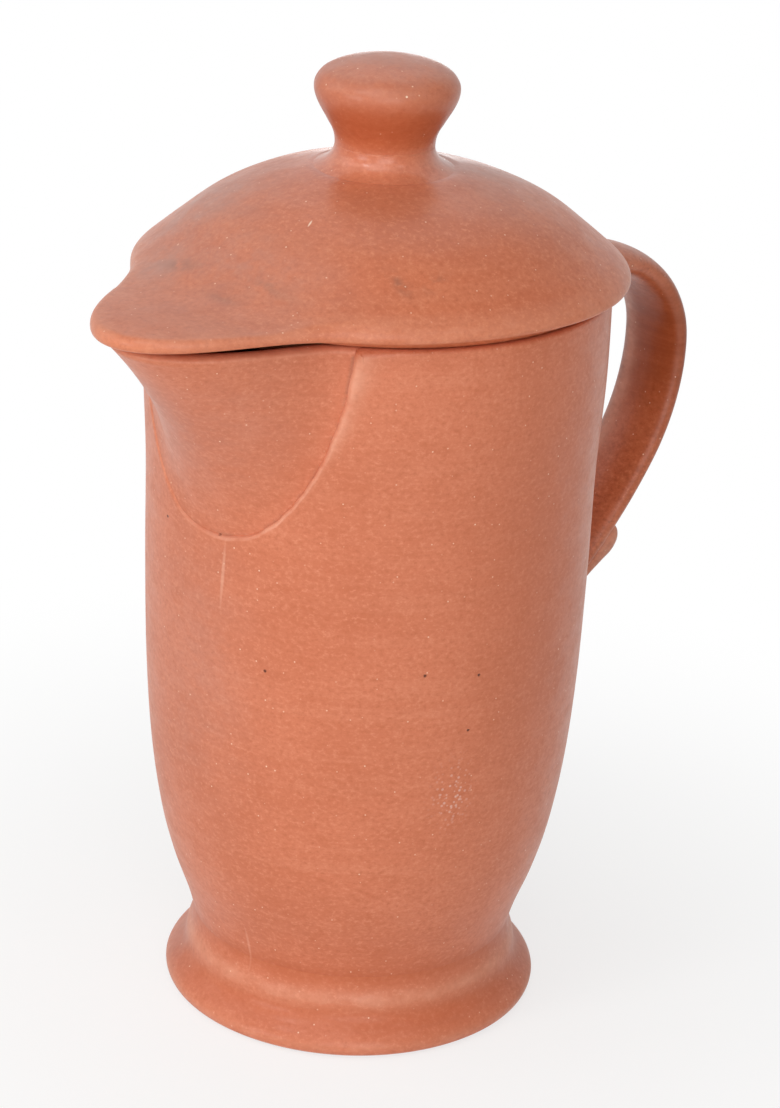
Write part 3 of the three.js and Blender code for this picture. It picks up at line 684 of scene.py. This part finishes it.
edge_rows = slice(len(top_radius) - 4, len(top_radius) + 12)
lid_wear[edge_rows] = np.interp(np.arange(16), [0, 6, 10, 15], [0.0, 0.4, 0.4, 0.1])[:, None]
lid = clay_skin("beaked_lid", lid_grid, wear=lid_wear)

# %% [markdown]
# ## The flange and the knob
#
# Under the lid hangs a plain ring that keeps it centred. The knob was thrown on top: a wide rounded head on
# a waist that runs out softly into the dome. Both could be turned with a Screw modifier, but as sections
# carried round the axis they can hold their wear, and on the knob a painted glint round the fillet.

# %% Model the flange and the knob
FLANGE_MIDDLE, FLANGE_HALF, FLANGE_HALF_DEPTH = 52.5, 2.5, 3.65
WAIST_RADIUS, WAIST_HEIGHT, FILLET_RADIUS, FILLET_ROWS = 13.3, 247.0, 24.4, 26
flange_middle = [FLANGE_MIDDLE, LID_BASE - FLANGE_HALF_DEPTH]
flange_section = superellipse(48, FLANGE_HALF, FLANGE_HALF_DEPTH, 5) + flange_middle
flange_grid = round_axis(flange_section[:, :1], round_angle, flange_section[:, 1:])
flange = clay_skin("lid_flange_ring", flange_grid, ring=True, wear=0.15)

fillet_foot = LID_BASE + dome(FILLET_RADIUS) - 0.5
fillet = np.hstack([
    bend(FILLET_RADIUS, WAIST_RADIUS + 0.05, WAIST_RADIUS, FILLET_ROWS),
    bend(fillet_foot, LID_BASE + 30.9, WAIST_HEIGHT, FILLET_ROWS),
])
knob_line = smooth_line([
    [WAIST_RADIUS, WAIST_HEIGHT], [13.42, 248.5], [13.78, 250.0], [14.4, 251.5], [15.3, 253.0],
    [16.15, 254.5], [17.05, 256.0], [17.9, 257.5], [18.6, 259.0], [19.1, 260.5], [19.3, 262.0], [19.1, 263.5],
    [18.3, 265.0], [17.2, 266.2], [15.5, 267.3], [13.0, 268.35], [9.6, 269.3], [5.7, 269.9], [1.0, 270.15],
], 90)
inside_dome = [[2.0, LID_BASE + 26.0], [23.0, LID_BASE + 27.5]]
knob_section = np.vstack([inside_dome, fillet, knob_line])
knob_grid = round_axis(knob_section[:, :1], round_angle, knob_section[:, 1:])
# The knob's pale paint: a rubbed band round the head, and a painted glint on the fillet round its foot.
knob_wear_and_glint = 0.12 * bell(knob_section[:, 1], 262.5, 3.5) + 0.25 * bell(knob_section[:, 1], 244, 3)
knob = clay_skin("thrown_knob", knob_grid, wear=knob_wear_and_glint[:, None])

# %% [markdown]
# ## Clay for every piece
#
# The jug is unglazed terracotta, burnished with a smooth stone before firing, which gives a dull satin sheen
# over an orange body that still shows flecks, pits and turning lines. Colours are written as they look on a
# screen, and one function turns them to the linear values that Blender works with. A second one adds a node
# with its settings and its links, and a third clears the way for a new set of nodes.

# %% Colour and node helpers
def screen_colour(code):
    """Linear red, green, blue and alpha of a screen colour: channels to the power 2.4 above their foot."""
    channels = np.array([int(code[i:i + 2], 16) for i in (1, 3, 5)]) / 255
    linear = np.where(channels <= 0.04045, channels / 12.92, ((channels + 0.055) / 1.055) ** 2.4)
    return (*linear.tolist(), 1.0)


def add(tree, kind, settings=None, **links):
    """A shader node of a kind in a tree. settings sets its properties, or its inputs by number or name;
    links joins an input, named in5 or by its name, to another node's output."""
    node = tree.nodes.new("ShaderNode" + kind)
    for key, value in (settings or {}).items():
        if isinstance(key, int) or key in node.inputs:
            node.inputs[key].default_value = value
        else:
            setattr(node, key, value)
    for key, source in links.items():
        tree.links.new(source, node.inputs[int(key[2:]) if key[2:].isdigit() else key])
    return node


def empty_tree(owner):
    """The node tree of a material or a world, with no node in it."""
    owner.use_nodes = True
    owner.node_tree.nodes.clear()
    return owner.node_tree


print("the clay's orange, linear:", [round(v, 3) for v in screen_colour("#D27A58")[:3]])

# %% [markdown]
# ## The burnished clay
#
# Fired red clay owes its orange to iron, and no two hand's breadths of it are the same tone. The material
# follows what happened to the pot, and paints some of the light and shade on it as well. First come the
# clay's own clouds and grit, the fine lines of the wheel and a grey painted sheen on the surfaces that face
# up. Then come the paints that each skin carries: embers, partly painted shade; haze, partly painted sheen;
# smudges of handling, with painted shade in the spout's joint; and rubbed edges, with painted highlights on
# the foot, the knob and beside the cut. Last come flecks of sand and pits where a grain burnt out. All of it
# could be painted on an image, but a table of patterns keeps each size in millimetres, in one place.

# %% The patterns in the clay, by size, and the layers that they mix
PATTERNS = [  # name, width and height in millimetres, detail
    ("clouds", 42, 42, 3.0), ("mottle", 7, 5, 2.0), ("strokes", 11, 7, 3.0), ("grit", 1.5, 1.1, 4.0),
    ("lines", 60, 2.4, 2.0),
]
CELLS = [  # name, cell in millimetres, and the span of the cell's own number that fills it from none to full
    ("sand", 2.6, 0.35, 1.0), ("salt", 1.3, 0.0, 0.1), ("pit", 19, 0.45, 0.47),
]
LAYERS = [  # where it lies, its pattern, the pattern's span, the share at both ends of it, and its colour
    (None, "clouds", 0.42, 0.66, 0.0, 0.55, "deep"), (None, "lines", 0.46, 0.74, 0.0, 0.28, "pale"),
    (None, "mottle", 0.50, 0.75, 0.0, 0.42, "deep"), (None, "grit", 0.52, 0.74, 0.0, 0.85, "pale"),
    # The ember layer at the end of the next line is a deeper orange: partly fire colour, partly painted
    # shade.
    (None, "grit", 0.48, 0.26, 0.0, 0.9, "deep"), ("ember", "lines", 0.3, 0.6, 0.75, 1.0, "ember"),
    # Grey painted sheen on the surfaces that face up, then the grey haze, partly smoke and partly painted
    # sheen.
    ("upward_sheen", "clouds", 0.35, 0.6, 0.03, 0.12, "grey"), ("haze", "strokes", 0.36, 0.64, 0.35, 0.75, "grey"),
    # Dirt, and the painted shade in the spout's joint.
    ("smudge", "strokes", 0.44, 0.58, 0.0, 0.7, "#855B4B"),
    # Rubbed clay, and painted highlights on the foot, the knob and beside the cut.
    ("wear", "strokes", 0.34, 0.64, 0.2, 0.7, "#E8A78A"),
    ("in sand", "sand", 0.105, 0.05, 0.0, 0.95, "#F3CFB4"), ("bloom", "salt", 0.38, 0.2, 0.0, 0.8, "#EBCDC2"),
]
print(len(PATTERNS), "noises and", len(CELLS), "patterns of cells")

# %% [markdown]
# The layers read the noises and cells of the tables, and the paints of the skin. All of them are worked out
# from places on the object, so they stay put from every side.

# %% What the layers read
def clay_patterns(tree):
    """What the layers read, by name: the place on the object, how far the surface faces up, the paints of
    the skin, and the noises and cells of the tables."""
    place = add(tree, "TexCoord").outputs["Object"]
    normal = add(tree, "NewGeometry").outputs["Normal"]
    facing_up = add(tree, "SeparateXYZ", Vector=normal).outputs["Z"]
    # How far the surface faces up: it sets where a grey sheen is painted on the tops.
    upward_sheen = add(tree, "MapRange", {1: 0.7, 2: 1.0}, in0=facing_up).outputs[0]
    clay = {"place": place, "upward_sheen": upward_sheen}
    for paint in ("wear", "haze", "smudge", "bloom", "ember"):
        clay[paint] = add(tree, "Attribute", {"attribute_name": paint}).outputs["Fac"]
    for pattern, width, height, detail in PATTERNS:
        stretch = 1 / (width * MM), 1 / (width * MM), 1 / (height * MM)
        sized = add(tree, "Mapping", {"Scale": stretch}, Vector=place)
        clay[pattern] = add(tree, "TexNoise", {"Scale": 1.0, "Detail": detail, "Roughness": 0.68},
                            Vector=sized.outputs[0]).outputs["Fac"]
    for pattern, size, none, full in CELLS:
        cell = add(tree, "TexVoronoi", {"Scale": 1 / (size * MM)}, Vector=place)
        number = add(tree, "SeparateColor", in0=cell.outputs["Color"]).outputs[0]
        clay[pattern] = cell.outputs["Distance"]
        clay["in " + pattern] = add(tree, "MapRange", {1: none, 2: full}, in0=number).outputs[0]
    return clay


print("the finest noise is", min(height for _, _, height, _ in PATTERNS), "mm high")

# %% [markdown]
# The layers go on one over the other, each as a mix of the tone so far and its own colour. The share of the
# mix is the pattern, cut to the span that the layer uses, times the paint that says where it lies. The marks
# that the picture shows in one place only are ellipsoids in a Mapping node of their own.

# %% Layers and single marks
def layered_tone(tree, clay, colours):
    """The clay's main colour under every layer of the table, each mixed over the tone so far."""
    tone = None
    for where, pattern, low, high, least, most, colour in LAYERS:
        span = {1: low, 2: high, 3: least, 4: most}
        share = add(tree, "MapRange", span, in0=clay[pattern]).outputs[0]
        if where:
            share = add(tree, "Math", {"operation": "MULTIPLY"}, in0=share, in1=clay[where]).outputs[0]
        over = {"in0": share} if tone is None else {"in0": share, "in6": tone}
        tone = add(tree, "Mix", {"data_type": "RGBA", 6: screen_colour(colours["main"]),
                   7: screen_colour(colours.get(colour, colour))}, **over).outputs[2]
    return tone


def single_marks(tree, clay, tone, marks):
    """The tone and the pits with some marks on them. A mark is a middle, a turn in degrees, a reach in
    millimetres, a colour or none for a pit, and a strength."""
    pit = add(tree, "MapRange", {1: 0.024, 2: 0.014}, in0=clay["pit"]).outputs[0]
    pit = add(tree, "Math", {"operation": "MULTIPLY"}, in0=pit, in1=clay["in pit"]).outputs[0]
    for middle, turned, reach, colour, strength in marks:
        local = add(tree, "Mapping", {
            "vector_type": "TEXTURE", "Location": [v * MM for v in middle],
            "Rotation": np.radians(turned).tolist(), "Scale": [v * MM for v in reach],
        }, Vector=clay["place"])
        away = add(tree, "VectorMath", {"operation": "LENGTH"}, in0=local.outputs[0])
        share = add(tree, "MapRange", {1: 1.0, 2: 0.4, 4: strength}, in0=away.outputs["Value"]).outputs[0]
        if colour:
            over = {"data_type": "RGBA", 7: screen_colour(colour)}
            tone = add(tree, "Mix", over, in0=share, in6=tone).outputs[2]
        else:
            pit = add(tree, "Math", {"operation": "MAXIMUM"}, in0=pit, in1=share).outputs[0]
    return tone, pit


print(len(LAYERS), "layers, the last coloured", LAYERS[-1][-1])

# %% [markdown]
# Height goes to the bump only where a fingertip would feel it: wheel lines, dents, grit and pits. Real grit
# is 0.1 to 0.3 mm and is drawn at 1.5 mm and less, so that it shows in a picture of the whole jug.

# %% Burnished terracotta
DARK_PIT = "#522518"


def burnished_clay(name, colours, roughness, coat, marks=(), wet_ring=False):
    """Satin clay, from a table of colours by layer. The bumps run from 0.03 mm for the wheel's lines to
    0.4 mm for pits. coat is the thin gloss that the burnishing stone left, and wet_ring lets the gloss paint
    raise it to 1."""
    material = bpy.data.materials.new(name)
    tree = empty_tree(material)
    clay = clay_patterns(tree)
    tone, pit = single_marks(tree, clay, layered_tone(tree, clay, colours), marks)
    dark = {"data_type": "RGBA", 7: screen_colour(DARK_PIT)}
    tone = add(tree, "Mix", dark, in0=pit, in6=tone).outputs[2]
    slope = {}
    bumps = (clay["lines"], 0.03), (clay["mottle"], 0.12), (clay["grit"], 0.03), (pit, 0.4)
    for height, depth in bumps:
        raised = {"Distance": depth * MM, "invert": height is pit}
        slope["Normal"] = add(tree, "Bump", raised, Height=height, **slope).outputs[0]
    span = {1: 0.3, 2: 0.7, 3: roughness - 0.05, 4: roughness + 0.06}
    polish = add(tree, "MapRange", span, in0=clay["mottle"]).outputs[0]
    looks = {"Base Color": tone, "Roughness": polish, **slope}
    if wet_ring:
        gloss = add(tree, "Attribute", {"attribute_name": "gloss"}).outputs["Fac"]
        looks["Coat Weight"] = add(tree, "MapRange", {3: coat, 4: 1.0}, in0=gloss).outputs[0]
    shader = add(tree, "BsdfPrincipled", {
        "IOR": 1.5, "Specular IOR Level": 0.28, "Coat Weight": coat, "Coat Roughness": 0.2,
    }, **looks)
    add(tree, "OutputMaterial", in0=shader.outputs[0])
    print(name, len(tree.nodes), "nodes")
    return material


print("pits are", DARK_PIT)

# %% [markdown]
# The wall, the foot and the spout share one clay with the marks that the picture shows on them: the pits,
# the faint line that runs down from the spout's joint and another above the foot. The lid and the knob have
# a scratch and one grain of sand of their own. The handle was dipped in a redder slip, and the flange, which
# nobody sees, was left plain.

# %% Clay for the jug, the lid, the handle and the flange
PIN_PIT = 0.5, 0.5, 0.5
UNTURNED = 0, 0, 0
jug_clay = burnished_clay(
    "burnished_terracotta_of_the_jug",
    {"main": "#D27A58", "deep": "#C26A47", "pale": "#DE8E6D", "grey": "#AF8C84", "ember": "#BC5F38"},
    roughness=0.43, coat=0.12,
    marks=[
        ((2.3, -61.5, 152.7), UNTURNED, (0.8, 2.0, 0.45), None, 0.6),
        ((51.4, -33.0, 120.1), UNTURNED, PIN_PIT, None, 0.9),
        ((58.0, -18.9, 118.3), UNTURNED, PIN_PIT, None, 0.9),
        ((17.8, -58.4, 118.0), UNTURNED, PIN_PIT, None, 0.9),
        ((56.9, -20.7, 102.4), UNTURNED, (0.5, 0.5, 0.4), None, 0.9),
        ((-19.7, -58.3, 150.6), UNTURNED, (0.6, 0.8, 0.5), None, 0.9),
        ((4.2, -61.3, 142.0), (0, 4, 0), (0.7, 3.0, 11.0), "#EFB79C", 0.35),
        ((3.9, -47.8, 25.0), (8, 2, 0), (0.6, 3.0, 9.0), "#E9AD93", 0.4),
    ],
)
lid_clay = burnished_clay(
    "burnished_terracotta_of_the_lid",
    {"main": "#D17650", "deep": "#BC613D", "pale": "#DD8A64", "grey": "#AE8B81", "ember": "#B65831"},
    roughness=0.40, coat=0.12, wet_ring=True,
    marks=[
        ((10.0, -38.7, 234.5), (12, 0, -76), (1.9, 0.32, 1.0), "#F6D9BE", 0.9),
        ((15.9, -10.3, 264.2), UNTURNED, (0.4, 0.4, 0.4), "#FBE3C6", 1.0),
    ],
)
handle_clay = burnished_clay(
    "burnished_terracotta_of_the_handle",
    {"main": "#C66C46", "deep": "#9C4C2B", "pale": "#D8825C", "grey": "#B8968C", "ember": "#8E421F"},
    roughness=0.40, coat=0.12,
)
plain_clay = burnished_clay(
    "plain_terracotta_of_the_flange",
    {"main": "#CB8262", "deep": "#B96F50", "pale": "#D8957A", "grey": "#B39388", "ember": "#B96F50"},
    roughness=0.72, coat=0.0,
)

# %% [markdown]
# ## Joining pieces and bodies
#
# Each dressed piece takes the place of one solid, rides on that solid's body and takes its clay.

# %% Join each piece to its solid, its body and its finish
joined = [
    (jug_body, "body_wall", "jug", "burnished_terracotta", jug_clay),
    (foot, "foot_ring", "jug", "burnished_terracotta", jug_clay),
    (spout, "spout", "jug", "burnished_terracotta", jug_clay),
    (strap, "handle_strap", "jug", "handle_terracotta", handle_clay),
    (lug, "handle_lug", "jug", "handle_terracotta", handle_clay),
    (lid, "lid_shell", "lid", "burnished_terracotta", lid_clay),
    (knob, "lid_knob", "lid", "burnished_terracotta", lid_clay),
    (flange, "lid_flange", "lid_ring", "plain_terracotta", plain_clay),
]
for piece, node, body, slot, material in joined:
    piece.data.materials.append(material)
    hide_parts(node)
    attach(piece, body)
    print(piece.name, "stands for", node, "and rides on", body)

# %% [markdown]
# ## The table and the sky
#
# The picture was taken on pale paper that fades to white. The floor is that paper: the camera sees it turn
# white away from the jug, and every other ray sees plain paper, so that it still bounces soft light and
# keeps the jug's shadow.

# %% Paper floor
PAPER_HALF, PAPER_DROP = 4.0, 0.0002


def seen_itself(tree):
    """1 for a ray that shows the ground or the sky itself: from the camera, a gloss or a clear body."""
    rays = add(tree, "LightPath").outputs
    most = {"operation": "MAXIMUM"}
    seen = add(tree, "Math", most, in0=rays["Is Camera Ray"], in1=rays["Is Glossy Ray"]).outputs[0]
    return add(tree, "Math", most, in0=seen, in1=rays["Is Transmission Ray"]).outputs[0]


def paper_floor():
    """A wide pale floor that fades to pure white away from the jug, for the camera only."""
    mesh = bpy.data.meshes.new("paper_floor")
    around = (-1, -1), (1, -1), (1, 1), (-1, 1)
    mesh.from_pydata([(x * PAPER_HALF, y * PAPER_HALF, -PAPER_DROP) for x, y in around], [], [(0, 1, 2, 3)])
    floor_piece = bpy.data.objects.new("paper_floor", mesh)
    bpy.context.collection.objects.link(floor_piece)
    material = bpy.data.materials.new("matt_white_paper")
    tree = empty_tree(material)
    place = add(tree, "TexCoord").outputs["Object"]
    away = add(tree, "VectorMath", {"operation": "LENGTH"}, in0=place).outputs["Value"]
    span = {"interpolation_type": "SMOOTHSTEP", 1: 0.05, 2: 0.30, 3: 0.72, 4: 1.0}
    fade = add(tree, "MapRange", span, in0=away).outputs[0]
    whiteness = add(tree, "Math", {"operation": "MULTIPLY"}, in0=fade, in1=seen_itself(tree)).outputs[0]
    paper = add(tree, "BsdfDiffuse", {"Color": screen_colour("#FAFAF8")}).outputs[0]
    white = add(tree, "Emission", {"Color": (1, 1, 1, 1), "Strength": 1.0}).outputs[0]
    mix = add(tree, "MixShader", in0=whiteness, in1=paper, in2=white)
    add(tree, "OutputMaterial", in0=mix.outputs[0])
    floor_piece.data.materials.append(material)
    return floor_piece


paper_floor()
print("floor", 2 * PAPER_HALF, "m across")

# %% [markdown]
# The sky is white in the same way: the camera sees it pure white, and it lights the jug only a little.

# %% White sky
world = bpy.data.worlds.new("white_room")
bpy.context.scene.world = world
sky_tree = empty_tree(world)
fill = add(sky_tree, "Background", {"Color": (1, 1, 1, 1), "Strength": 0.25}).outputs[0]
white = add(sky_tree, "Background", {"Color": (1, 1, 1, 1), "Strength": 1.0}).outputs[0]
sky = add(sky_tree, "MixShader", in0=seen_itself(sky_tree), in1=fill, in2=white)
add(sky_tree, "OutputWorld", in0=sky.outputs[0])
print("sky", len(sky_tree.nodes), "nodes")

# %% [markdown]
# ## The light
#
# The picture has soft light from the upper left. One bright lamp could do that, but the shade on the right
# would then go black. So four large soft lamps stand round the front, two small boxes high up leave the
# glints on the knob, and two weak lamps keep the back from going dull. The four large lamps began as a
# least-squares fit to the picture's tones and were then trimmed, and the other four were set one by one.

# %% Soft lamps
LAMP_DISTANCE, LAMP_AIM = 1.6, 0.13
LAMPS = [  # name, azimuth and elevation in degrees, side in metres, strength in watts
    ("window_lamp", -8, 12, 0.6, 4.8), ("front_lamp", 45, 18, 1.0, 8.3), ("overhead_lamp", 20, 55, 1.0, 4.6),
    ("left_box", -6, 48, 0.25, 1.9), ("right_box", 84, 46, 0.25, 0.6), ("side_lamp", -50, 35, 1.0, 3.3),
    ("back_lamp", 221, 58, 1.0, 2.4), ("low_back_lamp", 221, 0, 0.3, 0.7),
]
for name, azimuth, elevation, side, power in LAMPS:
    back = towards(*np.radians([azimuth, elevation]))
    lamp = bpy.data.objects.new(name, bpy.data.lights.new(name, "AREA"))
    lamp.data.size, lamp.data.energy = side, power
    lamp.location = Vector(back * LAMP_DISTANCE + np.array([0, 0, LAMP_AIM]))
    lamp.rotation_euler = Vector(back).to_track_quat("Z", "Y").to_euler()
    bpy.context.collection.objects.link(lamp)
    print(name, "at", [round(v, 2) for v in lamp.location])

# %% [markdown]
# ## Plain viewing
#
# The picture is shown through the Standard view, so that a colour comes out as it is written.

# %% Plain view
bpy.context.scene.view_settings.view_transform = "Standard"
